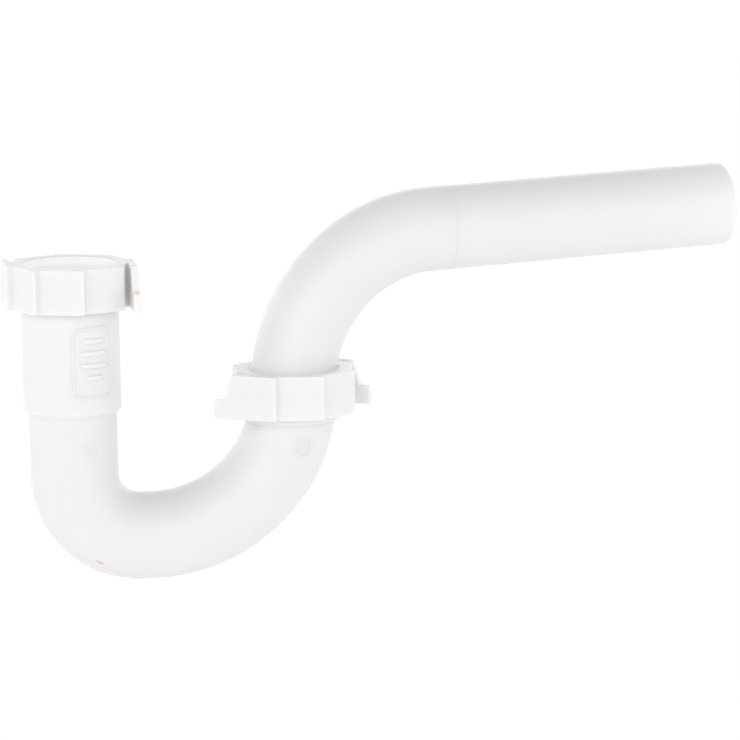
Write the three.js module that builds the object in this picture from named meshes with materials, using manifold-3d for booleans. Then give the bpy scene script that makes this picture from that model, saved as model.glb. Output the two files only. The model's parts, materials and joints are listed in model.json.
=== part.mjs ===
// A tubular P-trap for a sink drain: a J-shaped trap bend, a trap arm, and at each end of the
// bend a slip nut that squeezes a tapered washer on to the tube that enters there.
//
// Frame: millimetres, +Z up, +X from the inlet leg to the outlet leg, in the plane of the bend.
// The origin is the centre of the inlet socket's rim. The trap arm's rest position is swung
// ARM_SWING degrees from +X towards +Y.

import * as THREE from 'three';
import { mergeVertices } from 'three/addons/utils/BufferGeometryUtils.js';
import Module from 'manifold-3d';

const wasm = await Module();
wasm.setup();

// ---- driving dimensions ------------------------------------------------------------------

const SIDES = 32; // facets round a full circle
const GAP = 0.3; // between pieces that touch
const OVER = 2; // how far a cutter runs past the face it opens

const TUBE_R = 19.65; // outside of the bend's tube
const WATER_R = 17.9; // inside of the bend's tube
const SOCKET_R = 19.65; // bore of both sockets, loose round a 38.1 mm tube
const LEG_SPACING = 99.5; // inlet axis to outlet axis
const TIGHT_R = 29.5; // centreline radius of the bend under the inlet
const SWEEP_R = 64.5; // centreline radius of the bend that rises to the outlet
const BOTTOM_Z = -120; // centreline at the lowest point of the bend

const HUB_R = 21.7; // outside of the inlet hub, and the root of both threads
const HUB_END_Z = -60.3; // where the hub's taper to the tube begins
const HUB_TAPER = 2.6;
const HUB_FLOOR_Z = -57.5; // the ledge on which the tailpiece would bottom
const COLLAR_R = 22.2; // outside of the outlet collar below its thread
const COLLAR_LENGTH = 19; // rim to the lower edge of the collar
const COLLAR_TAPER = 2.2;
const OUTLET_RIM_Z = -51.1;

const SEAT_DEPTH = 4.5; // tapered seat for the washer, at each rim
const SEAT_TOP_R = 20.9;
const SEAT_LOW_R = 20.3;
const RIM_CHAMFER = 0.5;

const PITCH = 3.2; // of the slip nut threads
const THREAD_BASE = 1.6; // width of the thread at its root
const THREAD_CREST = 0.7; // and at its crest
const THREAD_SINK = 0.3; // how far the thread is let into its wall
const MALE_CREST_R = 23.2;
const MALE_START_Z = -11.7; // thread's centre at its lowest turn, from the rim
const MALE_TURNS = 3;
const FEMALE_CREST_R = 22.2;
const FEMALE_ROOT_R = 24;
const FEMALE_FIRST_TURN = 0.3125;
const FEMALE_LAST_TURN = 3.375;

const NUT_HEIGHT = 20.1;
const NUT_BELOW_RIM = 14.9; // the nut's lower face, from the rim
const NUT_RIDGE_R = 28.9;
const NUT_TEETH = 8;
const NUT_RAMP = [26.2, 26.3, 27.2]; // radii along a tooth, before its ridge
const NUT_RISER = 1.5; // degrees that a tooth takes to drop back
const NUT_HOLE_R = 20.65;
const NUT_LIP = 2.8; // thickness of the lip over the washer
const NUT_CAVITY_R = 23.2; // room for the washer's flange
const NUT_CAVITY_LOW = 14.4; // from the nut's lower face
const NUT_EDGE = 0.8; // chamfer round the teeth, above and below

const WING_LENGTH = 30.2; // from the ridge to the tip
const WING_THICK = 3.2;
const WING_TAB_HEIGHT = 8.6;
const WING_FOOT = 25.3; // where the gusset meets the tab
const WING_SHOULDER = 21.4; // where the gusset meets the nut's upper face
const WING_LEAN = 7; // degrees that a wing turns inwards from its ridge's tangent
const WING_CORNER = 1.6; // radius of the tab's outer corners

const WASHER_R = 22.7;
const WASHER_HOLE_R = 19.55;
const WASHER_FLANGE = 1.8;
const WASHER_NOSE = 4;
const WASHER_NOSE_TOP_R = 20.55;
const WASHER_NOSE_LOW_R = 20.05;
const WASHER_LIP_TOP = 4.6; // the thin lip that stands in the nut's hole, from the rim
const WASHER_LIP_R = 20.4;
const WASHER_LIP_HOLE_R = 20;

const ARM_R = 19.05; // a 38.1 mm wall tube
const ARM_WALL = 1.6;
const ARM_IN_SOCKET = 14.2; // how deep the arm stands in the outlet collar
const ARM_BEND_Z = -54.9; // where the arm's bend begins
const ARM_BEND_R = 67.9;
const ARM_BEND_ANGLE = 88.6;
const ARM_RUN = 145.5; // straight length after the bend
const ARM_SWING = 12;

const INLET_NUT_TURN = 9.5; // azimuth of each nut's first wing ridge
const OUTLET_NUT_TURN = -113.7;

// ---- solids --------------------------------------------------------------------------------

// A three.js geometry as a manifold solid, with its faces turned outwards.
function solid(geometry) {
  const bare = new THREE.BufferGeometry();
  bare.setAttribute('position', geometry.getAttribute('position').clone());
  if (geometry.index) {
    bare.setIndex(geometry.index);
  }
  const merged = mergeVertices(bare, 1e-4);
  const points = new Float32Array(merged.getAttribute('position').array);
  const corners = new Uint32Array(keptTriangles(merged.index.array));
  if (volume(points, corners) < 0) {
    for (let i = 0; i < corners.length; i += 3) {
      [corners[i + 1], corners[i + 2]] = [corners[i + 2], corners[i + 1]];
    }
  }
  return new wasm.Manifold(new wasm.Mesh({ numProp: 3, vertProperties: points, triVerts: corners }));
}

// The triangles whose three corners are still different after merging.
function keptTriangles(index) {
  const kept = [];
  for (let i = 0; i < index.length; i += 3) {
    const [a, b, c] = [index[i], index[i + 1], index[i + 2]];
    if (a !== b && b !== c && c !== a) {
      kept.push(a, b, c);
    }
  }
  return kept;
}

function volume(points, corners) {
  const at = (i) => new THREE.Vector3().fromArray(points, 3 * corners[i]);
  let total = 0;
  for (let i = 0; i < corners.length; i += 3) {
    total += at(i).dot(at(i + 1).cross(at(i + 2))) / 6;
  }
  return total;
}

function geometryOf(shape) {
  const mesh = shape.getMesh();
  const geometry = new THREE.BufferGeometry();
  geometry.setAttribute('position', new THREE.BufferAttribute(mesh.vertProperties, 3));
  geometry.setIndex(new THREE.BufferAttribute(mesh.triVerts, 1));
  geometry.computeVertexNormals();
  return geometry;
}

// A solid of revolution about Z, from [radius, z] points that start and end on the axis.
function turned(profile) {
  const points = profile.map(([r, z]) => new THREE.Vector2(r, z));
  return solid(new THREE.LatheGeometry(points, SIDES).rotateX(Math.PI / 2));
}

function rod(radius, low, high) {
  return turned([[0, low], [radius, low], [radius, high], [0, high]]);
}

function circle(radius) {
  const corner = (k) => {
    const angle = (2 * Math.PI * k) / SIDES;
    return new THREE.Vector2(radius * Math.cos(angle), radius * Math.sin(angle));
  };
  return new THREE.Shape(Array.from({ length: SIDES }, (_, k) => corner(k)));
}

// A path in a vertical plane made of straight runs and arcs, each cut into its own number of
// steps. It starts at `from`, heading at `heading` degrees from +X towards +Z.
class PipePath extends THREE.Curve {
  constructor(from, heading, legs) {
    super();
    this.legs = [];
    let place = from.clone();
    let angle = THREE.MathUtils.degToRad(heading);
    for (const { run = 0, radius = 0, turn = 0, steps = 1 } of legs) {
      const leg = { place, angle, run, radius, turn: THREE.MathUtils.degToRad(turn), steps };
      this.legs.push(leg);
      place = this.along(leg, 1);
      angle += leg.turn;
    }
    this.steps = this.legs.reduce((sum, leg) => sum + leg.steps, 0);
  }

  along({ place, angle, run, radius, turn }, part) {
    const side = Math.sign(turn) * radius;
    const end = angle + turn * part;
    const dx = run * part * Math.cos(angle) + side * (Math.sin(end) - Math.sin(angle));
    const dz = run * part * Math.sin(angle) - side * (Math.cos(end) - Math.cos(angle));
    return new THREE.Vector3(place.x + dx, place.y, place.z + dz);
  }

  getPoint(t) {
    let step = t * this.steps;
    const last = this.legs.at(-1);
    const leg = this.legs.find((each) => each === last || step <= each.steps || !(step -= each.steps));
    return this.along(leg, step / leg.steps);
  }

  // Rings stand at the ends of the steps, not at equal distances.
  getUtoTmapping(u) {
    return u;
  }
}

function pipe(path, radius) {
  return solid(new THREE.ExtrudeGeometry(circle(radius), { steps: path.steps, extrudePath: path }));
}

// A right-hand helix about Z whose sections keep X radial and Y upright.
class Helix extends THREE.Curve {
  constructor(radius, startZ, firstTurn, lastTurn) {
    super();
    Object.assign(this, { radius, startZ, firstTurn, lastTurn });
  }

  turnAt(t) {
    return this.firstTurn + t * (this.lastTurn - this.firstTurn);
  }

  getPoint(t) {
    const angle = 2 * Math.PI * this.turnAt(t);
    const z = this.startZ + PITCH * this.turnAt(t);
    return new THREE.Vector3(this.radius * Math.cos(angle), this.radius * Math.sin(angle), z);
  }

  getUtoTmapping(u) {
    return u;
  }

  computeFrenetFrames(steps) {
    const frames = { tangents: [], normals: [], binormals: [] };
    for (let k = 0; k <= steps; k += 1) {
      const angle = 2 * Math.PI * this.turnAt(k / steps);
      frames.tangents.push(new THREE.Vector3(-Math.sin(angle), Math.cos(angle), 0));
      frames.normals.push(new THREE.Vector3(Math.cos(angle), Math.sin(angle), 0));
      frames.binormals.push(new THREE.Vector3(0, 0, 1));
    }
    return frames;
  }
}

// A thread that stands out of its wall from rootR to crestR, which may be inwards.
function thread(rootR, crestR, startZ, firstTurn, lastTurn) {
  const inwards = Math.sign(rootR - crestR);
  const sink = inwards * THREAD_SINK;
  const crest = crestR - rootR;
  const section = new THREE.Shape([
    new THREE.Vector2(sink, -THREAD_BASE / 2),
    new THREE.Vector2(crest, -THREAD_CREST / 2),
    new THREE.Vector2(crest, THREAD_CREST / 2),
    new THREE.Vector2(sink, THREAD_BASE / 2),
  ]);
  const helix = new Helix(rootR, startZ, firstTurn, lastTurn);
  const steps = Math.round((lastTurn - firstTurn) * SIDES);
  return solid(new THREE.ExtrudeGeometry(section, { steps, extrudePath: helix }));
}

// ---- the trap bend -------------------------------------------------------------------------

// The washer's tapered seat and the socket below it, cut from a rim at z = 0.
function socketCutter(floorZ) {
  const flare = (SEAT_TOP_R - SEAT_LOW_R) / SEAT_DEPTH;
  return turned([
    [0, floorZ],
    [SOCKET_R, floorZ],
    [SOCKET_R, -SEAT_DEPTH],
    [SEAT_LOW_R, -SEAT_DEPTH],
    [SEAT_TOP_R + flare * OVER, OVER],
    [0, OVER],
  ]);
}

// A socket's outside: a threaded neck above a plain barrel that tapers to the tube. The thread
// starts at the azimuth where its nut, once tight, comes to rest.
function neck(barrelR, barrelLowZ, taper, threadTurn) {
  const shoulderZ = -NUT_BELOW_RIM - GAP;
  const body = turned([
    [0, barrelLowZ - taper],
    [TUBE_R - GAP, barrelLowZ - taper],
    [barrelR, barrelLowZ],
    [barrelR, shoulderZ],
    [HUB_R, shoulderZ],
    [HUB_R, -RIM_CHAMFER],
    [HUB_R - RIM_CHAMFER, 0],
    [0, 0],
  ]);
  const male = thread(HUB_R, MALE_CREST_R, MALE_START_Z, 0, MALE_TURNS);
  return body.add(male.rotate([0, 0, threadTurn]));
}

function trapBend() {
  const tightCentreZ = BOTTOM_Z + TIGHT_R;
  const sweepTopZ = BOTTOM_Z + SWEEP_R;
  const legs = (startZ, endZ) => [
    { run: startZ - tightCentreZ },
    { radius: TIGHT_R, turn: 90, steps: 8 },
    { run: LEG_SPACING - TIGHT_R - SWEEP_R },
    { radius: SWEEP_R, turn: 90, steps: 12 },
    { run: endZ - sweepTopZ },
  ];
  const path = (startZ, endZ) =>
    new PipePath(new THREE.Vector3(0, 0, startZ), -90, legs(startZ, endZ));

  const outletRim = [LEG_SPACING, 0, OUTLET_RIM_Z];
  const hub = neck(HUB_R, HUB_END_Z, HUB_TAPER, INLET_NUT_TURN);
  const collar = neck(COLLAR_R, COLLAR_TAPER - COLLAR_LENGTH, COLLAR_TAPER, OUTLET_NUT_TURN);
  const outside = pipe(path(HUB_FLOOR_Z, OUTLET_RIM_Z - OVER), TUBE_R)
    .add(hub)
    .add(collar.translate(outletRim));
  const waterway = pipe(path(HUB_FLOOR_Z + OVER, OUTLET_RIM_Z - OVER), WATER_R);
  return outside
    .subtract(waterway)
    .subtract(socketCutter(HUB_FLOOR_Z))
    .subtract(socketCutter(-ARM_IN_SOCKET - GAP).translate(outletRim));
}

// ---- slip nuts and washers -----------------------------------------------------------------

// The saw-toothed outline, with a ridge at azimuth 0. Each tooth rises counter-clockwise.
function toothedOutline() {
  const tooth = 360 / NUT_TEETH;
  const points = [];
  const add = (radius, degrees) => {
    const angle = THREE.MathUtils.degToRad(degrees);
    points.push(new THREE.Vector2(radius * Math.cos(angle), radius * Math.sin(angle)));
  };
  for (let k = 0; k < NUT_TEETH; k += 1) {
    const foot = k * tooth + NUT_RISER;
    const rise = (tooth - NUT_RISER) / NUT_RAMP.length;
    NUT_RAMP.forEach((radius, step) => add(radius, foot + step * rise));
    add(NUT_RIDGE_R, (k + 1) * tooth);
  }
  return new THREE.Shape(points);
}

// One wing: a plate whose outer face starts at the ridge at azimuth 0 and which runs clockwise
// from it, full height as far as a sloping gusset and low from there to its tip.
function wing() {
  const side = new THREE.Shape();
  side.moveTo(0, 0);
  side.lineTo(WING_LENGTH - WING_CORNER, 0);
  side.absarc(WING_LENGTH - WING_CORNER, WING_CORNER, WING_CORNER, -Math.PI / 2, 0);
  side.lineTo(WING_LENGTH, WING_TAB_HEIGHT - WING_CORNER);
  side.absarc(WING_LENGTH - WING_CORNER, WING_TAB_HEIGHT - WING_CORNER, WING_CORNER, 0, Math.PI / 2);
  side.lineTo(WING_FOOT, WING_TAB_HEIGHT);
  side.lineTo(WING_SHOULDER, NUT_HEIGHT - NUT_EDGE);
  side.lineTo(WING_SHOULDER - NUT_EDGE, NUT_HEIGHT);
  side.lineTo(0, NUT_HEIGHT);
  const plate = new THREE.ExtrudeGeometry(side, {
    depth: WING_THICK,
    bevelEnabled: false,
    curveSegments: 3,
  });
  // the plate's length runs along -Y, its height along Z and its thickness along X
  const axes = new THREE.Matrix4().makeBasis(
    new THREE.Vector3(0, -1, 0),
    new THREE.Vector3(0, 0, 1),
    new THREE.Vector3(-1, 0, 0),
  );
  return solid(plate.applyMatrix4(axes).rotateZ((-WING_LEAN * Math.PI) / 180).translate(NUT_RIDGE_R, 0, 0));
}

// A slip nut whose lower face is at z = 0.
function slipNut() {
  const edge = NUT_RIDGE_R - NUT_EDGE;
  const prism = new THREE.ExtrudeGeometry(toothedOutline(), { depth: NUT_HEIGHT, bevelEnabled: false });
  const envelope = turned([
    [0, 0],
    [edge, 0],
    [NUT_RIDGE_R + GAP, NUT_EDGE],
    [NUT_RIDGE_R + GAP, NUT_HEIGHT - NUT_EDGE],
    [edge, NUT_HEIGHT],
    [0, NUT_HEIGHT],
  ]);
  const bore = turned([
    [0, -OVER],
    [FEMALE_ROOT_R, -OVER],
    [FEMALE_ROOT_R, NUT_CAVITY_LOW],
    [NUT_CAVITY_R, NUT_CAVITY_LOW],
    [NUT_CAVITY_R, NUT_HEIGHT - NUT_LIP],
    [NUT_HOLE_R, NUT_HEIGHT - NUT_LIP],
    [NUT_HOLE_R, NUT_HEIGHT + OVER],
    [0, NUT_HEIGHT + OVER],
  ]);
  const startZ = NUT_BELOW_RIM + MALE_START_Z - PITCH / 2;
  return solid(prism)
    .intersect(envelope)
    .add(wing())
    .add(wing().rotate([0, 0, 180]))
    .subtract(bore)
    .add(thread(FEMALE_ROOT_R, FEMALE_CREST_R, startZ, FEMALE_FIRST_TURN, FEMALE_LAST_TURN));
}

// A tapered washer that lies on a rim at z = 0, its nose down in the seat and a thin lip up in
// the hole of the nut.
function slipWasher() {
  const noseZ = GAP - WASHER_NOSE;
  const flangeZ = GAP + WASHER_FLANGE;
  const body = turned([
    [0, noseZ],
    [WASHER_NOSE_LOW_R, noseZ],
    [WASHER_NOSE_TOP_R, GAP],
    [WASHER_R, GAP],
    [WASHER_R, flangeZ],
    [WASHER_LIP_R, flangeZ],
    [WASHER_LIP_R, WASHER_LIP_TOP],
    [0, WASHER_LIP_TOP],
  ]);
  const hole = turned([
    [0, noseZ - OVER],
    [WASHER_HOLE_R, noseZ - OVER],
    [WASHER_HOLE_R, flangeZ],
    [WASHER_LIP_HOLE_R, WASHER_LIP_TOP],
    [WASHER_LIP_HOLE_R, WASHER_LIP_TOP + OVER],
    [0, WASHER_LIP_TOP + OVER],
  ]);
  return body.subtract(hole);
}

// ---- the trap arm --------------------------------------------------------------------------

// The arm about its own vertical axis, running towards +X from the bend.
function trapArm() {
  const lowZ = OUTLET_RIM_Z - ARM_IN_SOCKET;
  const tube = (radius, over) =>
    pipe(
      new PipePath(new THREE.Vector3(0, 0, lowZ - over), 90, [
        { run: ARM_BEND_Z - lowZ + over },
        { radius: ARM_BEND_R, turn: -ARM_BEND_ANGLE, steps: 14 },
        { run: ARM_RUN + over },
      ]),
      radius,
    );
  return tube(ARM_R, 0).subtract(tube(ARM_R - ARM_WALL, OVER));
}

// ---- the assembly --------------------------------------------------------------------------

const plastic = (color, roughness) =>
  new THREE.MeshStandardMaterial({ color, roughness, metalness: 0 });

const trap = new THREE.Group();

function place(name, shape, material, at = [0, 0, 0], turn = 0) {
  const mesh = new THREE.Mesh(geometryOf(shape), material);
  mesh.name = name;
  mesh.position.set(...at);
  mesh.rotation.z = THREE.MathUtils.degToRad(turn);
  trap.add(mesh);
}

place('trap_bend', trapBend(), plastic(0xf4f2f0, 0.38));
place('trap_arm', trapArm(), plastic(0xf5f3f1, 0.36), [LEG_SPACING, 0, 0], ARM_SWING);

const joints = [
  { end: 'inlet', x: 0, rimZ: 0, turn: INLET_NUT_TURN },
  { end: 'outlet', x: LEG_SPACING, rimZ: OUTLET_RIM_Z, turn: OUTLET_NUT_TURN },
];
for (const { end, x, rimZ, turn } of joints) {
  place(`${end}_slip_washer`, slipWasher(), plastic(0xe9ebe8, 0.5), [x, 0, rimZ]);
  place(`${end}_slip_nut`, slipNut(), plastic(0xf2f0ee, 0.42), [x, 0, rimZ - NUT_BELOW_RIM], turn);
}

export default trap;
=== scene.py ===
# A white tubular P-trap: the looks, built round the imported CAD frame.
#
# Lengths below are in millimetres, as the part's own dimensions are, and are turned into metres
# where a mesh is made. Every piece is modelled at rest, in the row frame: +Z up, +X from the inlet
# leg to the outlet leg, origin at the centre of the inlet socket's rim.

import json
import math

import bmesh
import bpy
from mathutils import Matrix, Quaternion, Vector


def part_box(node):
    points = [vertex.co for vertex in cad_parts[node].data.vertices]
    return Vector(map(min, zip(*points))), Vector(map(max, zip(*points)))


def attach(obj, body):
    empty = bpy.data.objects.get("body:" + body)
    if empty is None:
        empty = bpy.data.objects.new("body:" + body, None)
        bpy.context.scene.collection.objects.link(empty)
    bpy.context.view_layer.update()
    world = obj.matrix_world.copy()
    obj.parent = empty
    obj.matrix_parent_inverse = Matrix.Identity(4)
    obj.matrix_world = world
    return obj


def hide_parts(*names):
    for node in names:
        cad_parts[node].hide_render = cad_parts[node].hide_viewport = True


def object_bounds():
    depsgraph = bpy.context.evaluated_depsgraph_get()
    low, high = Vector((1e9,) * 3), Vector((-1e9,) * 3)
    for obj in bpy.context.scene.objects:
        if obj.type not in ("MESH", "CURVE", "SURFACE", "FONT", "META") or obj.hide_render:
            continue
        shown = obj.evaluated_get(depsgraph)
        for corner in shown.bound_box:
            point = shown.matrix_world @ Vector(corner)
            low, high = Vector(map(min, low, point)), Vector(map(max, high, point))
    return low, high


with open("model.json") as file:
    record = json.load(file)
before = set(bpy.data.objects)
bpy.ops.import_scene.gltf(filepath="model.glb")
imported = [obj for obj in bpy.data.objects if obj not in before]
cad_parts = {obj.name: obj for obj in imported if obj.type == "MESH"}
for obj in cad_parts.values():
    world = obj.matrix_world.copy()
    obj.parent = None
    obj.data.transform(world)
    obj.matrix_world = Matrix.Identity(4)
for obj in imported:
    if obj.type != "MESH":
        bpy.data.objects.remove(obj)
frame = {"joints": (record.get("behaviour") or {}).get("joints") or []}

cad_low, cad_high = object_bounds()

MM = 0.001
JOINTS = {joint["name"]: joint for joint in frame["joints"]}
OUTLET = Vector(JOINTS["outlet_nut_turn"]["pos_m"]) / MM  # centre of the outlet collar's rim
INLET = Vector((0, 0, 0))

# ---- dimensions shared with the CAD model --------------------------------------------------

TUBE_R = 19.65
WATER_R = 17.9
SOCKET_R = 19.65
LEG_SPACING = OUTLET.x
TIGHT_R = 29.5
SWEEP_R = 64.5
BOTTOM_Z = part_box("trap_bend")[0].z / MM + TUBE_R
OUTLET_RIM_Z = OUTLET.z

HUB_R = 21.7
HUB_END = 60.3  # rim to where the hub's taper begins
HUB_TAPER = 2.6
HUB_FLOOR = 57.5
COLLAR_R = 22.2
COLLAR_LENGTH = 19
COLLAR_TAPER = 2.2
SOCKET_DEPTH = 14.5  # of the outlet collar
SEAT_DEPTH = 4.5
SEAT_TOP_R = 20.9
SEAT_LOW_R = 20.3

PITCH = 3.2
THREAD_BASE = 1.6
THREAD_CREST = 0.7
MALE_CREST_R = 23.2
MALE_START_Z = -11.7
MALE_TURNS = 3
FEMALE_CREST_R = 22.2
FEMALE_ROOT_R = 24
FEMALE_TURNS = (0.3125, 3.375)

NUT_HEIGHT = 20.1
NUT_BELOW_RIM = 14.9
NUT_RIDGE_R = 28.9
NUT_TEETH = 8
NUT_HOLE_R = 20.65
NUT_LIP = 2.8
NUT_CAVITY_R = 23.2
NUT_CAVITY_LOW = 14.4
WING_LENGTH = 30.2
WING_THICK = 3.2
WING_TAB_HEIGHT = 8.6
WING_FOOT = 25.3
WING_SHOULDER = 21.4
WING_LEAN = 7  # degrees

WASHER_R = 22.7
WASHER_HOLE_R = 19.55
WASHER_FLANGE = 1.8
WASHER_NOSE = 4
WASHER_NOSE_TOP_R = 20.55
WASHER_NOSE_LOW_R = 20.05
WASHER_LIP_TOP = 4.6
WASHER_LIP_R = 20.4
WASHER_LIP_HOLE_R = 20
GAP = 0.3

ARM_R = 19.05
ARM_WALL = 1.6
ARM_IN_SOCKET = 14.2
ARM_BEND_Z = -54.9
ARM_BEND_R = 67.9
ARM_BEND_ANGLE = 88.6
ARM_RUN = 145.5
ARM_SWING = 12

INLET_NUT_TURN = 9.5
OUTLET_NUT_TURN = -113.7

SIDES = 144  # round every tube


# ---- mesh tools ----------------------------------------------------------------------------


def new_piece(name, mesh, body, node, material):
    """Links a finished mesh as a piece that stands for a CAD node."""
    piece = bpy.data.objects.new(name, mesh)
    bpy.context.scene.collection.objects.link(piece)
    mesh.materials.append(material)
    for polygon in mesh.polygons:
        polygon.use_smooth = True
    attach(piece, body)
    if node:
        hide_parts(node)
    return piece


def mesh_of(name, points, faces):
    """A mesh in metres from points in millimetres, with its normals turned outwards."""
    mesh = bpy.data.meshes.new(name)
    mesh.from_pydata([tuple(Vector(p) * MM) for p in points], [], faces)
    work = bmesh.new()
    work.from_mesh(mesh)
    bmesh.ops.recalc_face_normals(work, faces=work.faces)
    work.to_mesh(mesh)
    work.free()
    mesh.validate()
    return mesh


def ring_faces(first, second):
    """Quads between two rings, given as lists of point numbers of equal length."""
    count = len(first)
    return [(first[i], first[(i + 1) % count], second[(i + 1) % count], second[i]) for i in range(count)]


def closed_shell(name, rings):
    """A closed mesh whose rings follow each other and whose last ring meets the first."""
    points = [point for ring in rings for point in ring]
    count = len(rings[0])
    rows = [list(range(k * count, (k + 1) * count)) for k in range(len(rings))]
    faces = []
    for row, following in zip(rows, rows[1:] + rows[:1]):
        faces += ring_faces(row, following)
    return mesh_of(name, points, faces)


def spread(start, end, step):
    """Numbers from start to end, both kept, no further apart than step."""
    count = max(1, math.ceil(abs(end - start) / step - 1e-6))
    return [start + (end - start) * k / count for k in range(count + 1)]


ROUNDING_SHARE = 0.45  # most of a straight side that a rounding takes at either end


def softened(profile, radius, segments=4):
    """An open (along, radius) outline with each inner corner rounded off."""
    out = [profile[0]]
    for before, corner, after in zip(profile, profile[1:], profile[2:]):
        before, corner, after = Vector(before), Vector(corner), Vector(after)
        shorter = min((before - corner).length, (after - corner).length)
        reach = min(radius, shorter * ROUNDING_SHARE)
        start = corner + (before - corner).normalized() * reach
        end = corner + (after - corner).normalized() * reach
        for k in range(segments + 1):
            t = k / segments
            out.append(tuple(start * (1 - t) ** 2 + corner * 2 * t * (1 - t) + end * t**2))
    out.append(profile[-1])
    return out


THREAD_RUN_OUT = 0.08  # of a turn, over which each end of a thread fades away


def thread_height(azimuth, z, start_z, turns):
    """Share of the thread's full height, from 0 to 1, at one place on its wall."""
    turn = azimuth / math.tau
    turn += round((z - start_z) / PITCH - turn)
    off = abs(z - start_z - PITCH * turn)
    flank = (THREAD_BASE - THREAD_CREST) / 2
    height = min(1.0, max(0.0, (THREAD_BASE / 2 - off) / flank))
    fade = min((turn - turns[0]) / THREAD_RUN_OUT, (turns[1] - turn) / THREAD_RUN_OUT)
    return height * min(1.0, max(0.0, fade))


# ---- the trap bend -------------------------------------------------------------------------


BEND_STEP = 3.0  # between rings on curved stretches
HUB_RING_STEP = 4  # between rings on the straight stretches of the necks and the hub's inside
SOCKET_RING_STEP = 3
THREAD_STEP = 0.2
THREAD_ROWS_START = 0.6  # below the rim
RIM_STEP = 0.1  # from the seat's edge to where the outside and the inside meet on the rim
STEP_RUN = 0.2  # distance along the pipe taken up by a step in its radius
NECK_TAIL = 6  # plain tube that belongs to a neck's outline
NECK_ROUNDING = 0.5
SOCKET_TAIL = 4
SOCKET_ROUNDING = 0.3
LEVEL_OUT = 10.0  # stretch over which the rings turn from level to square on the curve
SHIFT = 2.2  # stretch over which their centres move from the socket's axis to the curve's


class PipePath:
    """A path in a vertical plane through Z: straight runs and arcs, measured by distance."""

    def __init__(self, start, heading, legs):
        self.legs = []
        place, angle, gone = Vector(start), math.radians(heading), 0.0
        for run, radius, turn in legs:
            length = run or radius * math.radians(abs(turn))
            self.legs.append((gone, length, place.copy(), angle, radius, math.copysign(1, turn)))
            gone += length
            place = self.along(self.legs[-1], length)[0]
            angle += math.radians(turn)
        self.length = gone

    @staticmethod
    def along(leg, distance):
        _, _, place, angle, radius, side = leg
        if not radius:
            return place + Vector((math.cos(angle), 0, math.sin(angle))) * distance, angle
        end = angle + side * distance / radius
        dx = side * radius * (math.sin(end) - math.sin(angle))
        dz = side * radius * (math.cos(angle) - math.cos(end))
        return place + Vector((dx, 0, dz)), end

    def at(self, distance):
        """Centre and heading, the first and last leg running on past their ends."""
        leg = next((leg for leg in self.legs if distance <= leg[0] + leg[1]), self.legs[-1])
        return self.along(leg, distance - leg[0])

    def ring(self, distance, radius_at, straight=0.0):
        """A ring about the path, kept level and upright within `straight` of the path's end."""
        centre, heading = self.at(distance)
        depth = self.length - distance
        lean = heading - math.pi / 2
        if straight:
            lean *= min(1.0, max(0.0, (depth - straight) / LEVEL_OUT))
            off_axis = min(1.0, max(0.0, (depth - straight + SHIFT) / SHIFT))
            centre.x = LEG_SPACING + (centre.x - LEG_SPACING) * off_axis
        slant = 1 / math.cos(heading - math.pi / 2 - lean) if straight and depth >= straight else 1.0
        across = Vector((-math.cos(lean), 0, -math.sin(lean))) * slant
        ring = []
        for k in range(SIDES):
            theta = math.tau * k / SIDES
            out = across * math.cos(theta) + Vector((0, 1, 0)) * math.sin(theta)
            ring.append(centre + out * radius_at(theta))
        return ring

    def surface(self, distance, degrees, radius):
        """A point on the tube of that radius and its outward direction."""
        centre, heading = self.at(distance)
        theta = math.radians(degrees)
        across = Vector((-math.sin(heading), 0, math.cos(heading)))
        out = across * math.cos(theta) + Vector((0, 1, 0)) * math.sin(theta)
        return centre + out * radius, out


def bend_path():
    down = -(BOTTOM_Z + TIGHT_R)
    up = OUTLET_RIM_Z - (BOTTOM_Z + SWEEP_R)
    level = LEG_SPACING - TIGHT_R - SWEEP_R
    legs = [(down, 0, 0), (0, TIGHT_R, 90), (level, 0, 0), (0, SWEEP_R, 90), (up, 0, 0)]
    return PipePath(INLET, -90, legs)


def neck_profile(barrel_r, barrel_end, taper):
    """A socket's outside as (distance from rim, radius), from the rim to the plain tube."""
    below_nut = NUT_BELOW_RIM + GAP
    tube_start = barrel_end + taper
    return softened(
        [
            (0, SEAT_TOP_R + RIM_STEP),
            (0, HUB_R),
            (below_nut, HUB_R),
            (below_nut + STEP_RUN, barrel_r),
            (barrel_end, barrel_r),
            (tube_start, TUBE_R),
            (tube_start + NECK_TAIL, TUBE_R),
        ],
        NECK_ROUNDING,
    )


def socket_profile(floor):
    """A socket's inside, from the rim to the waterway."""
    return softened(
        [
            (0, SEAT_TOP_R + RIM_STEP),
            (0, SEAT_TOP_R),
            (SEAT_DEPTH, SEAT_LOW_R),
            (SEAT_DEPTH + STEP_RUN, SOCKET_R),
            (floor, SOCKET_R),
            (floor + STEP_RUN, WATER_R),
            (floor + SOCKET_TAIL, WATER_R),
        ],
        SOCKET_ROUNDING,
    )


def filled(profile, step):
    """The profile with extra stations wherever two are further apart than step."""
    out = [profile[0]]
    for (s0, r0), (s1, r1) in zip(profile, profile[1:]):
        for s in spread(s0, s1, step)[1:]:
            part = 1.0 if s1 == s0 else (s - s0) / (s1 - s0)
            out.append((s, r0 + (r1 - r0) * part))
    return out


def with_thread_rows(profile):
    """The profile with close stations along the thread."""
    rows = [(s, HUB_R) for s in spread(THREAD_ROWS_START, THREAD_BASE - MALE_START_Z, THREAD_STEP)]
    return sorted(profile[:-1] + rows, key=lambda row: row[0]) + profile[-1:]


def even(radius):
    """The radius of a round ring, the same at every angle."""
    return lambda theta: radius


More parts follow.
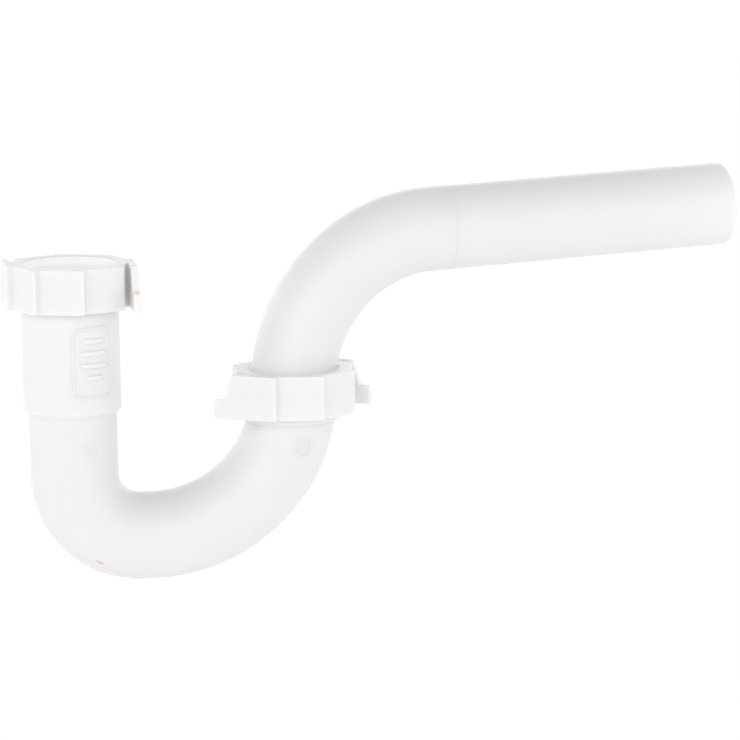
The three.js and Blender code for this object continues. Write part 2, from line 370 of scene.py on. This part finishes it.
def threaded(distance, radius, azimuth_of):
    """The radius round a neck's ring, with the thread on it down to the nut's lower face."""
    if distance > NUT_BELOW_RIM:
        return even(radius)
    rise = MALE_CREST_R - HUB_R
    return lambda theta: radius + rise * thread_height(
        azimuth_of(theta) % math.tau, -distance, MALE_START_Z, (0, MALE_TURNS)
    )


def inlet_azimuth(theta):
    return theta - math.radians(INLET_NUT_TURN)


def outlet_azimuth(theta):
    """Seen from above, a ring's own angle runs the other way round at the outlet."""
    return math.pi - theta - math.radians(OUTLET_NUT_TURN)


def build_bend(material):
    path = bend_path()
    total = path.length
    hub = with_thread_rows(neck_profile(HUB_R, HUB_END, HUB_TAPER))
    collar = with_thread_rows(neck_profile(COLLAR_R, COLLAR_LENGTH - COLLAR_TAPER, COLLAR_TAPER))
    rings = [path.ring(s, threaded(s, r, inlet_azimuth)) for s, r in filled(hub, HUB_RING_STEP)]
    for s in spread(hub[-1][0], total - collar[-1][0], BEND_STEP)[1:-1]:
        rings.append(path.ring(s, even(TUBE_R), COLLAR_LENGTH))
    for s, r in reversed(filled(collar, HUB_RING_STEP)):
        rings.append(path.ring(total - s, threaded(s, r, outlet_azimuth), COLLAR_LENGTH))
    inner_out = filled(socket_profile(SOCKET_DEPTH), SOCKET_RING_STEP)
    inner_in = filled(socket_profile(HUB_FLOOR), HUB_RING_STEP)
    straight = SOCKET_DEPTH + SHIFT
    rings += [path.ring(total - s, even(r), straight) for s, r in inner_out[1:]]
    for s in spread(total - inner_out[-1][0], inner_in[-1][0], BEND_STEP)[1:-1]:
        rings.append(path.ring(s, even(WATER_R), straight))
    rings += [path.ring(s, even(r)) for s, r in reversed(inner_in[1:])]
    mesh = closed_shell("bend_shell", rings)
    new_piece("bend_shell", mesh, "trap_bend", "trap_bend", material)


# ---- raised moulding marks -----------------------------------------------------------------

BEAD_SIDES = 10
BEAD_SINK = 0.3  # how deep a ridge stands in the tube's skin
BEAD_END = 0.3  # share of its width that an open ridge keeps at its ends
CORNER_POINTS = 7
OVAL_POINTS = 32
ROUTE_STEP = 1.2


def bead(name, path, radius, route, width, height, closed=True):
    """A low rounded ridge along a route of (distance, degrees) on a tube's skin."""
    stations = [path.surface(distance, degrees, radius) for distance, degrees in route]
    count = len(stations)
    rings = []
    for k, (place, out) in enumerate(stations):
        before = stations[k - 1 if closed else max(k - 1, 0)][0]
        after = stations[(k + 1) % count if closed else min(k + 1, count - 1)][0]
        side = out.cross((after - before).normalized())
        taper = 1.0 if closed or 0 < k < count - 1 else BEAD_END
        ring = []
        for j in range(BEAD_SIDES):
            turn = math.tau * j / BEAD_SIDES
            lift = math.sin(turn) * (height if math.sin(turn) > 0 else BEAD_SINK)
            ring.append(place + (side * math.cos(turn) * width / 2 + out * lift) * taper)
        rings.append(ring)
    if closed:
        return closed_shell(name, rings)
    points = [point for ring in rings for point in ring]
    rows = [list(range(k * BEAD_SIDES, (k + 1) * BEAD_SIDES)) for k in range(count)]
    faces = [rows[0][::-1], rows[-1]]
    for row, following in zip(rows, rows[1:]):
        faces += ring_faces(row, following)
    return mesh_of(name, points, faces)


def rounded_box_route(middle, half_length, half_turn, corner, radius):
    """A rounded rectangle's outline on a tube; lengths in mm along it, angles in degrees."""
    per_mm = math.degrees(1 / radius)
    reach = half_turn / per_mm
    route = []
    for quarter in range(4):
        along = 1 if quarter in (0, 3) else -1
        around = 1 if quarter in (0, 1) else -1
        for j in range(CORNER_POINTS):
            turn = math.radians(90 * (quarter + j / (CORNER_POINTS - 1)))
            u = along * (half_length - corner) + corner * math.cos(turn)
            v = around * (reach - corner) + corner * math.sin(turn)
            route.append((middle[0] + u, middle[1] + v * per_mm))
    out = []
    for (s0, a0), (s1, a1) in zip(route, route[1:] + route[:1]):
        steps = max(1, round(math.hypot(s1 - s0, (a1 - a0) / per_mm) / ROUTE_STEP))
        out += [(s0 + (s1 - s0) * j / steps, a0 + (a1 - a0) * j / steps) for j in range(steps)]
    return out


def oval_route(middle, along, around):
    """An oval outline on the plain tube, with both half widths in mm."""
    per_mm = math.degrees(1 / TUBE_R)
    turns = [math.tau * k / OVAL_POINTS for k in range(OVAL_POINTS)]
    return [(middle[0] + along * math.cos(t), middle[1] + around * per_mm * math.sin(t)) for t in turns]


# Each place is a distance from the inlet's rim along the bend, in mm, and an angle round the tube.
LABEL = (37.2, -65.5)  # the plain label panel's middle
LABEL_HALF = (15.3, 26)  # half its height in mm, half its width in degrees
LABEL_CORNER = 4
LABEL_FRAME_EDGE = (0.9, 0.28)  # each of these pairs is a ridge's width and height
LABEL_BARS = ((-9.5, 15), (-4, 18), (1.5, 18), (7, 12))  # distance below the middle, half width
LABEL_BAR_EDGE = (2.2, 0.22)
BAR_STEP = 2.5  # degrees
CAVITY_MARK = (76.3, -71.5)
CAVITY_MARK_HALF = (2.2, 9)
CAVITY_MARK_CORNER = 0.6
CAVITY_MARK_EDGE = (0.6, 0.12)
EJECTOR_BEFORE_RIM = 26.6  # measured back from the outlet's rim
EJECTOR_ANGLE = -106.6
EJECTOR_RINGS = (("ejector_ring", 4.2, 0.2), ("ejector_centre", 1.6, 0.1))  # name, radius, height
EJECTOR_RING_WIDTH = 0.8
GATE = (122.5, -134)
GATE_HALF = (1.1, 0.3)  # along the tube and round it, both in mm
GATE_EDGE = (0.6, 0.2)


def build_marks(material, gate_material):
    path = bend_path()

    def add(name, radius, route, edge, closed=True, skin=material):
        mesh = bead(name, path, radius, route, *edge, closed)
        new_piece(name, mesh, "trap_bend", None, skin)

    frame_route = rounded_box_route(LABEL, *LABEL_HALF, LABEL_CORNER, HUB_R)
    add("label_frame", HUB_R, frame_route, LABEL_FRAME_EDGE)
    for k, (drop, half_width) in enumerate(LABEL_BARS):
        ends = (LABEL[1] - half_width, LABEL[1] + half_width)
        route = [(LABEL[0] + drop, degrees) for degrees in spread(*ends, BAR_STEP)]
        add(f"label_bar_{k + 1}", HUB_R, route, LABEL_BAR_EDGE, closed=False)
    small = rounded_box_route(CAVITY_MARK, *CAVITY_MARK_HALF, CAVITY_MARK_CORNER, TUBE_R)
    add("cavity_mark", TUBE_R, small, CAVITY_MARK_EDGE)
    disc = (path.length - EJECTOR_BEFORE_RIM, EJECTOR_ANGLE)
    for name, radius, height in EJECTOR_RINGS:
        add(name, TUBE_R, oval_route(disc, radius, radius), (EJECTOR_RING_WIDTH, height))
    add("gate_scar", TUBE_R, oval_route(GATE, *GATE_HALF), GATE_EDGE, skin=gate_material)


# ---- the trap arm --------------------------------------------------------------------------


WITNESS_ALONG = 7  # from the end of the arm's bend
WITNESS_SIDES = 90
WITNESS_EDGE = (0.5, 0.1)
ARM_END_ROUND = 0.3  # of the outside at each end
ARM_MOUTH_ROUND = 0.2  # of the bore at each end
ARM_END_LIP = 0.4  # from the bore to where the outside and the inside meet on the end faces
ARM_OUTSIDE_ROUNDING = 0.25
ARM_INSIDE_ROUNDING = 0.15


def build_arm(material, mark_material):
    low = OUTLET_RIM_Z - ARM_IN_SOCKET
    legs = [(ARM_BEND_Z - low, 0, 0), (0, ARM_BEND_R, -ARM_BEND_ANGLE), (ARM_RUN, 0, 0)]
    path = PipePath((0, 0, low), 90, legs)
    end = path.length
    bore = ARM_R - ARM_WALL
    lip = bore + ARM_END_LIP
    low_edge = [(0, lip), (0, ARM_R - ARM_END_ROUND), (ARM_END_ROUND, ARM_R)]
    high_edge = [(end - s, r) for s, r in reversed(low_edge)]
    low_mouth = [(ARM_MOUTH_ROUND, bore), (0, bore + ARM_MOUTH_ROUND), (0, lip)]
    high_mouth = [(end - s, r) for s, r in reversed(low_mouth)]
    outside = softened(low_edge + high_edge, ARM_OUTSIDE_ROUNDING)
    inside = softened(high_mouth + low_mouth, ARM_INSIDE_ROUNDING)
    rings = [path.ring(s, even(r)) for s, r in filled(outside, BEND_STEP)]
    rings += [path.ring(s, even(r)) for s, r in filled(inside, BEND_STEP)[1:-1]]
    mesh = closed_shell("arm_tube", rings)
    turns = [360 / WITNESS_SIDES * k for k in range(WITNESS_SIDES)]
    around = [(end - ARM_RUN + WITNESS_ALONG, degrees) for degrees in turns]
    line = bead("arm_witness_line", path, ARM_R, around, *WITNESS_EDGE)
    swing = Matrix.Rotation(math.radians(ARM_SWING), 4, "Z")
    for shape in (mesh, line):
        shape.transform(Matrix.Translation(Vector((LEG_SPACING, 0, 0)) * MM) @ swing)
    new_piece("arm_tube", mesh, "trap_arm", "trap_arm", material)
    new_piece("arm_witness_line", line, "trap_arm", None, mark_material)


# ---- slip nuts -----------------------------------------------------------------------------

NUT_EDGE = 0.7  # rounding of the nut's upper and lower edges
NUT_FACE_INSET = 0.3  # width of the flat strip between that rounding and the filled face
RAMP = [(0, 26.2), (0.25, 26.15), (0.5, 26.65), (0.75, 27.65), (1, NUT_RIDGE_R)]
RAMP_STEPS = 8
RISER = 1.5  # degrees
CORNER_STEPS = 4
CORNER_SHARE = 0.49  # most of a side that a corner's rounding takes
FOOT_ROUND = 0.6
RIDGE_ROUND = 0.5
WING_ROOT = 7.5  # from a wing's middle normal back to where its inner face meets the nut
WING_ROOT_ROUND = 0.8
WING_TIP_ROUND = 0.9
WING_CLEAR = 0.15  # a tooth's points nearer than this to its wing's inner face are left out
TAB_CORNER = 1.6
NUT_THREAD_ROWS = (0.9, NUT_CAVITY_LOW - 0.3)  # heights between which the rings lie close
NUT_MOUTH_ROUND = 0.6
NUT_HOLE_ROUND = 0.4
NUT_BORE_ROUNDING = 0.25


def polar(radius, degrees):
    angle = math.radians(degrees)
    return Vector((radius * math.cos(angle), radius * math.sin(angle)))


def ramp_radius(part):
    """The tooth's radius, part of the way from its foot to its ridge."""
    for (t0, r0), (t1, r1) in zip(RAMP, RAMP[1:]):
        if part <= t1:
            return r0 + (r1 - r0) * (part - t0) / (t1 - t0)
    return RAMP[-1][1]


def rounded_outline(corners):
    """A closed outline from (point, radius) corners, each rounded with the same number of points."""
    out = []
    count = len(corners)
    for k, (corner, radius) in enumerate(corners):
        if radius == 0:
            out.append(corner.copy())
            continue
        before = corners[k - 1][0]
        after = corners[(k + 1) % count][0]
        shorter = min((before - corner).length, (after - corner).length)
        reach = min(radius, shorter * CORNER_SHARE)
        start = corner + (before - corner).normalized() * reach
        end = corner + (after - corner).normalized() * reach
        for j in range(CORNER_STEPS + 1):
            t = j / CORNER_STEPS
            out.append(start * (1 - t) ** 2 + corner * 2 * t * (1 - t) + end * t**2)
    return out


def nut_outline(wing):
    """The nut's outline with its two wings `wing` millimetres long, counter-clockwise."""
    tooth = 360 / NUT_TEETH
    outer_face = NUT_RIDGE_R * math.cos(math.radians(WING_LEAN))
    inner_face = outer_face - WING_THICK
    corners = []
    for k in range(NUT_TEETH):
        start, ridge = (k - 1) * tooth + RISER, k * tooth
        winged = k % (NUT_TEETH // 2) == 0
        outward = polar(1, ridge - WING_LEAN)
        onward = polar(1, ridge - WING_LEAN + 90)
        corners.append((polar(ramp_radius(0), start), FOOT_ROUND))
        for j in range(1, RAMP_STEPS):
            part = j / RAMP_STEPS
            degrees = start + (ridge - start) * part
            point = polar(ramp_radius(part), degrees)
            if winged and point.dot(outward) > inner_face - WING_CLEAR:
                break
            corners.append((point, 0))
        if winged:
            tip = NUT_RIDGE_R * math.sin(math.radians(WING_LEAN)) - wing
            for out, on, radius in (
                (inner_face, -WING_ROOT, WING_ROOT_ROUND),
                (inner_face, (tip - WING_ROOT) / 2, 0),
                (inner_face, tip, WING_TIP_ROUND),
                (outer_face, tip, WING_TIP_ROUND),
                (outer_face, tip / 2, 0),
            ):
                corners.append((outward * out + onward * on, radius))
        corners.append((polar(NUT_RIDGE_R, ridge), RIDGE_ROUND))
    return rounded_outline(corners)


def inset(outline, amount):
    """The outline moved inwards by `amount` along its own normals."""
    count = len(outline)
    moved = []
    for k, point in enumerate(outline):
        along = outline[(k + 1) % count] - outline[k - 1]
        inward = Vector((-along.y, along.x)).normalized()
        moved.append(point + inward * amount)
    return moved


def wing_reach(z):
    """How far a wing reaches from its ridge at height z above the nut's lower face."""
    if z <= WING_TAB_HEIGHT:
        up = max(0.0, z - (WING_TAB_HEIGHT - TAB_CORNER))
        return WING_LENGTH - TAB_CORNER + math.sqrt(max(0.0, TAB_CORNER**2 - up**2))
    part = (z - WING_TAB_HEIGHT) / (NUT_HEIGHT - WING_TAB_HEIGHT)
    return WING_FOOT + (WING_SHOULDER - WING_FOOT) * part


def nut_levels():
    """(height, inset) of each ring up the nut's outside, closest together where the wings' tabs end."""
    quarter = [math.radians(a) for a in (0, 22.5, 45, 67.5, 90)]
    edge = [(NUT_EDGE * (1 - math.sin(a)), NUT_EDGE * (1 - math.cos(a))) for a in quarter]
    low = [(z, amount) for z, amount in reversed(edge)]
    high = [(NUT_HEIGHT - z, amount) for z, amount in edge]
    tab = [WING_TAB_HEIGHT - down for down in (TAB_CORNER, 1.1, 0.6, 0.25, 0.03)]
    above = [WING_TAB_HEIGHT + up for up in (0.03, 0.4, 1.0, 3.0, 6.0)]
    middle = [(z, 0) for z in (3, 5, *tab, *above, NUT_HEIGHT - 2)]
    face = NUT_EDGE + NUT_FACE_INSET
    return [(0, face)] + low + middle + high + [(NUT_HEIGHT, face)]


def nut_bore():
    """(height, radius) up the nut's inside, from its lower face to its upper one."""
    outline = softened(
        [
            (0, FEMALE_ROOT_R + NUT_MOUTH_ROUND),
            (NUT_MOUTH_ROUND, FEMALE_ROOT_R),
            (NUT_CAVITY_LOW, FEMALE_ROOT_R),
            (NUT_CAVITY_LOW + 0.1, NUT_CAVITY_R),
            (NUT_HEIGHT - NUT_LIP, NUT_CAVITY_R),
            (NUT_HEIGHT - NUT_LIP, NUT_HOLE_R),
            (NUT_HEIGHT - NUT_HOLE_ROUND, NUT_HOLE_R),
            (NUT_HEIGHT, NUT_HOLE_R + NUT_HOLE_ROUND),
        ],
        NUT_BORE_ROUNDING,
    )
    rows = [(z, FEMALE_ROOT_R) for z in spread(*NUT_THREAD_ROWS, THREAD_STEP)]
    return sorted(outline[:-1] + rows, key=lambda row: row[0]) + outline[-1:]


def build_nut(name, rim, turn, material):
    start_z = NUT_BELOW_RIM + MALE_START_Z - PITCH / 2
    points, faces = [], []

    def add_ring(ring):
        first = len(points)
        points.extend(ring)
        return list(range(first, len(points)))

    outer = []
    for z, amount in nut_levels():
        outline = inset(nut_outline(wing_reach(z)), amount)
        outer.append(add_ring([Vector((p.x, p.y, z)) for p in outline]))
    inner = []
    rise = FEMALE_ROOT_R - FEMALE_CREST_R
    for z, radius in nut_bore():
        ring = []
        for k in range(SIDES):
            azimuth = math.tau * k / SIDES
            depth = 0.0
            if NUT_THREAD_ROWS[0] <= z <= NUT_THREAD_ROWS[1]:
                depth = rise * thread_height(azimuth, z, start_z, FEMALE_TURNS)
            reach = radius - depth
            ring.append(Vector((reach * math.cos(azimuth), reach * math.sin(azimuth), z)))
        inner.append(add_ring(ring))
    for rows in (outer, inner):
        for row, following in zip(rows, rows[1:]):
            faces += ring_faces(row, following)
    mesh = bpy.data.meshes.new(name)
    mesh.from_pydata([tuple(p * MM) for p in points], [], faces)
    work = bmesh.new()
    work.from_mesh(mesh)
    work.verts.ensure_lookup_table()
    for pair in ((outer[0], inner[0]), (outer[-1], inner[-1])):
        edges = []
        for row in pair:
            for a, b in zip(row, row[1:] + row[:1]):
                edges.append(work.edges.get((work.verts[a], work.verts[b])))
        bmesh.ops.triangle_fill(work, use_beauty=True, edges=edges)
    bmesh.ops.recalc_face_normals(work, faces=work.faces)
    work.to_mesh(mesh)
    work.free()
    spin = Matrix.Rotation(math.radians(turn), 4, "Z")
    mesh.transform(Matrix.Translation((rim - Vector((0, 0, NUT_BELOW_RIM))) * MM) @ spin)
    node = name.replace("_shape", "")
    piece = new_piece(name, mesh, node, node, material)
    flat = piece.modifiers.new("even_faces", "WEIGHTED_NORMAL")
    flat.mode = "FACE_AREA"
    flat.weight = 80


# ---- slip washers --------------------------------------------------------------------------

WASHER_ROUND = 0.1  # of the hole's lower edge
WASHER_SOFTENING = 0.15


def build_washer(name, rim, material):
    nose = GAP - WASHER_NOSE
    flange = GAP + WASHER_FLANGE
    middle = WASHER_HOLE_R + WASHER_ROUND
    outline = softened(
        [
            (nose, middle),
            (nose, WASHER_NOSE_LOW_R),
            (GAP, WASHER_NOSE_TOP_R),
            (GAP, WASHER_R),
            (flange, WASHER_R),
            (flange, WASHER_LIP_R),
            (WASHER_LIP_TOP, WASHER_LIP_R),
            (WASHER_LIP_TOP, WASHER_LIP_HOLE_R),
            (flange, WASHER_HOLE_R),
            (nose + WASHER_ROUND, WASHER_HOLE_R),
            (nose, middle),
        ],
        WASHER_SOFTENING,
    )
    angles = [math.tau * k / SIDES for k in range(SIDES)]
    rings = []
    for z, radius in outline[:-1]:
        rings.append([rim + Vector((radius * math.cos(a), radius * math.sin(a), z)) for a in angles])
    node = name.replace("_shape", "")
    mesh = closed_shell(name, rings)
    new_piece(name, mesh, node, node, material)


# ---- materials -----------------------------------------------------------------------------

WHITE = (0.765, 0.755, 0.745)
NUT_WHITE = (0.715, 0.705, 0.695)
WASHER_WHITE = (0.92, 0.92, 0.9)
GATE_BROWN = (0.62, 0.53, 0.44)

CLOUD_SCALE = 22
CLOUD_SHADE = 0.985  # the darker end of the clouds, as a share of the colour
POLISH_SCALE = 90
POLISH_SPREAD = 0.05
SKIN_DEPTH = 0.05  # mm
PLASTIC_IOR = 1.49
SCATTER = 0.004  # metres that light travels inside the plastic


def plastic(name, colour, roughness, grain_mm, bump, translucency=0.0, painted_glow=0.0):
    """Moulded plastic: a faint cloudiness in the colour, uneven polish and a fine skin texture, plus an
    optional painted glow (emission) that lifts the part's shade.
    """
    material = bpy.data.materials.new(name)
    material.use_nodes = True
    nodes, links = material.node_tree.nodes, material.node_tree.links
    shader = nodes["Principled BSDF"]
    place = nodes.new("ShaderNodeTexCoord")

    def noise(scale, detail):
        node = nodes.new("ShaderNodeTexNoise")
        node.inputs["Scale"].default_value = scale
        node.inputs["Detail"].default_value = detail
        links.new(place.outputs["Object"], node.inputs["Vector"])
        return node

    clouds = noise(CLOUD_SCALE, 4)
    tint = nodes.new("ShaderNodeMix")
    tint.data_type = "RGBA"
    tint.inputs["A"].default_value = (*[c * CLOUD_SHADE for c in colour], 1)
    tint.inputs["B"].default_value = (*colour, 1)
    links.new(clouds.outputs["Fac"], tint.inputs["Factor"])
    links.new(tint.outputs["Result"], shader.inputs["Base Color"])

    polish = noise(POLISH_SCALE, 3)
    spread_of_polish = nodes.new("ShaderNodeMapRange")
    spread_of_polish.inputs["To Min"].default_value = roughness - POLISH_SPREAD
    spread_of_polish.inputs["To Max"].default_value = roughness + POLISH_SPREAD
    links.new(polish.outputs["Fac"], spread_of_polish.inputs["Value"])
    links.new(spread_of_polish.outputs["Result"], shader.inputs["Roughness"])

    grain = noise(1 / (grain_mm * MM), 2)
    skin = nodes.new("ShaderNodeBump")
    skin.inputs["Strength"].default_value = bump
    skin.inputs["Distance"].default_value = SKIN_DEPTH * MM
    links.new(grain.outputs["Fac"], skin.inputs["Height"])
    links.new(skin.outputs["Normal"], shader.inputs["Normal"])

    shader.inputs["IOR"].default_value = PLASTIC_IOR
    shader.inputs["Subsurface Weight"].default_value = translucency
    shader.inputs["Subsurface Radius"].default_value = (SCATTER, SCATTER, SCATTER)
    shader.inputs["Subsurface Scale"].default_value = 1.0
    # Painted light: the emission makes the part glow though it is no lamp, lightening its shaded faces
    # and the dark gaps and bore around it.
    shader.inputs["Emission Color"].default_value = (*colour, 1)
    shader.inputs["Emission Strength"].default_value = painted_glow
    return material


# ---- camera, floor and light ---------------------------------------------------------------

CAMERA_AZIMUTH = -8.17  # degrees, as are the next two
CAMERA_ELEVATION = 9.79
CAMERA_ROLL = -0.78
CAMERA_DISTANCE = 1620
CAMERA_TARGET = Vector((133.68, -5.02, -47.69))
CAMERA_LENS = 175.1
CAMERA_SENSOR = 36
CAMERA_CLIP = 20  # metres

# Lengths of the floor and of the key light are in metres.
FLOOR_HALF = 4.0
FLOOR_DROP = 0.12  # below the trap's lowest point
FLOOR_GREY = (0.3, 0.3, 0.3, 1)
FLOOR_GLOW = 0.78
ROOM_LIGHT = 1.55
CEILING_LIGHT = 0.5
CEILING_START, CEILING_FULL = 0.3, 0.75  # the fade between them, as heights on a unit sphere
KEY_PLACE = (-0.7, -2.0, 0.9)
KEY_AIM = (0.12, 0, -0.05)
KEY_SIZE = (2.0, 1.6)
KEY_WATTS = 9


def add_camera():
    data = bpy.data.cameras.new("camera")
    data.lens = CAMERA_LENS
    data.sensor_width = CAMERA_SENSOR
    data.clip_end = CAMERA_CLIP
    camera = bpy.data.objects.new("camera", data)
    bpy.context.scene.collection.objects.link(camera)
    azimuth, elevation = math.radians(CAMERA_AZIMUTH), math.radians(CAMERA_ELEVATION)
    level = math.cos(elevation)
    back = Vector((math.sin(azimuth) * level, -math.cos(azimuth) * level, math.sin(elevation)))
    camera.location = (CAMERA_TARGET + back * CAMERA_DISTANCE) * MM
    camera.rotation_mode = "QUATERNION"
    roll = Quaternion((0, 0, 1), math.radians(CAMERA_ROLL))
    camera.rotation_quaternion = (-back).to_track_quat("-Z", "Y") @ roll
    bpy.context.scene.camera = camera


def add_key_light():
    data = bpy.data.lights.new("key", "AREA")
    data.shape = "RECTANGLE"
    data.size, data.size_y = KEY_SIZE
    data.energy = KEY_WATTS
    light = bpy.data.objects.new("key", data)
    bpy.context.scene.collection.objects.link(light)
    light.location = KEY_PLACE
    light.rotation_mode = "QUATERNION"
    light.rotation_quaternion = (Vector(KEY_AIM) - Vector(KEY_PLACE)).to_track_quat("-Z", "Y")


def add_floor():
    mesh = bpy.data.meshes.new("floor")
    half = FLOOR_HALF
    z = cad_low.z - FLOOR_DROP
    corners = [(-half, -half, z), (half, -half, z), (half, half, z), (-half, half, z)]
    mesh.from_pydata(corners, [], [(0, 1, 2, 3)])
    floor = bpy.data.objects.new("floor", mesh)
    bpy.context.scene.collection.objects.link(floor)
    material = bpy.data.materials.new("floor_white")
    material.use_nodes = True
    shader = material.node_tree.nodes["Principled BSDF"]
    shader.inputs["Base Color"].default_value = FLOOR_GREY
    shader.inputs["Roughness"].default_value = 1.0
    shader.inputs["Specular IOR Level"].default_value = 0.0
    shader.inputs["Emission Color"].default_value = (1, 1, 1, 1)
    shader.inputs["Emission Strength"].default_value = FLOOR_GLOW
    mesh.materials.append(material)


def add_world():
    world = bpy.data.worlds.new("studio")
    bpy.context.scene.world = world
    world.use_nodes = True
    nodes, links = world.node_tree.nodes, world.node_tree.links
    nodes.clear()
    output = nodes.new("ShaderNodeOutputWorld")
    place = nodes.new("ShaderNodeTexCoord")
    split = nodes.new("ShaderNodeSeparateXYZ")
    links.new(place.outputs["Generated"], split.inputs["Vector"])
    height = nodes.new("ShaderNodeMapRange")
    height.interpolation_type = "SMOOTHSTEP"
    height.inputs["From Min"].default_value = CEILING_START
    height.inputs["From Max"].default_value = CEILING_FULL
    height.inputs["To Min"].default_value = ROOM_LIGHT
    height.inputs["To Max"].default_value = CEILING_LIGHT
    links.new(split.outputs["Z"], height.inputs["Value"])
    room = nodes.new("ShaderNodeBackground")
    room.inputs["Color"].default_value = (1, 1, 1, 1)
    links.new(height.outputs["Result"], room.inputs["Strength"])
    links.new(room.outputs["Background"], output.inputs["Surface"])


def main():
    bend_plastic = plastic("bend_plastic", WHITE, 0.36, 0.6, 0.25, translucency=0.5)
    arm_plastic = plastic("arm_plastic", WHITE, 0.33, 1.2, 0.15, translucency=0.5)
    # The nuts and washers get a painted glow: emission that lightens their shade and the dark gap and
    # bore behind them.
    nut_plastic = plastic("nut_plastic", NUT_WHITE, 0.4, 0.5, 0.3, translucency=0.5, painted_glow=0.08)
    washer_plastic = plastic("washer_plastic", WASHER_WHITE, 0.5, 0.4, 0.3, translucency=0.8, painted_glow=0.2)
    mark_plastic = plastic("mark_plastic", WHITE, 0.36, 0.6, 0.25)
    gate_plastic = plastic("gate_plastic", GATE_BROWN, 0.5, 0.4, 0.2)
    build_bend(bend_plastic)
    build_marks(mark_plastic, gate_plastic)
    build_arm(arm_plastic, mark_plastic)
    build_nut("inlet_slip_nut_shape", INLET, INLET_NUT_TURN, nut_plastic)
    build_nut("outlet_slip_nut_shape", OUTLET, OUTLET_NUT_TURN, nut_plastic)
    build_washer("inlet_slip_washer_shape", INLET, washer_plastic)
    build_washer("outlet_slip_washer_shape", OUTLET, washer_plastic)
    add_camera()
    add_floor()
    add_world()
    bpy.context.scene.view_settings.view_transform = "Standard"
    add_key_light()


main()
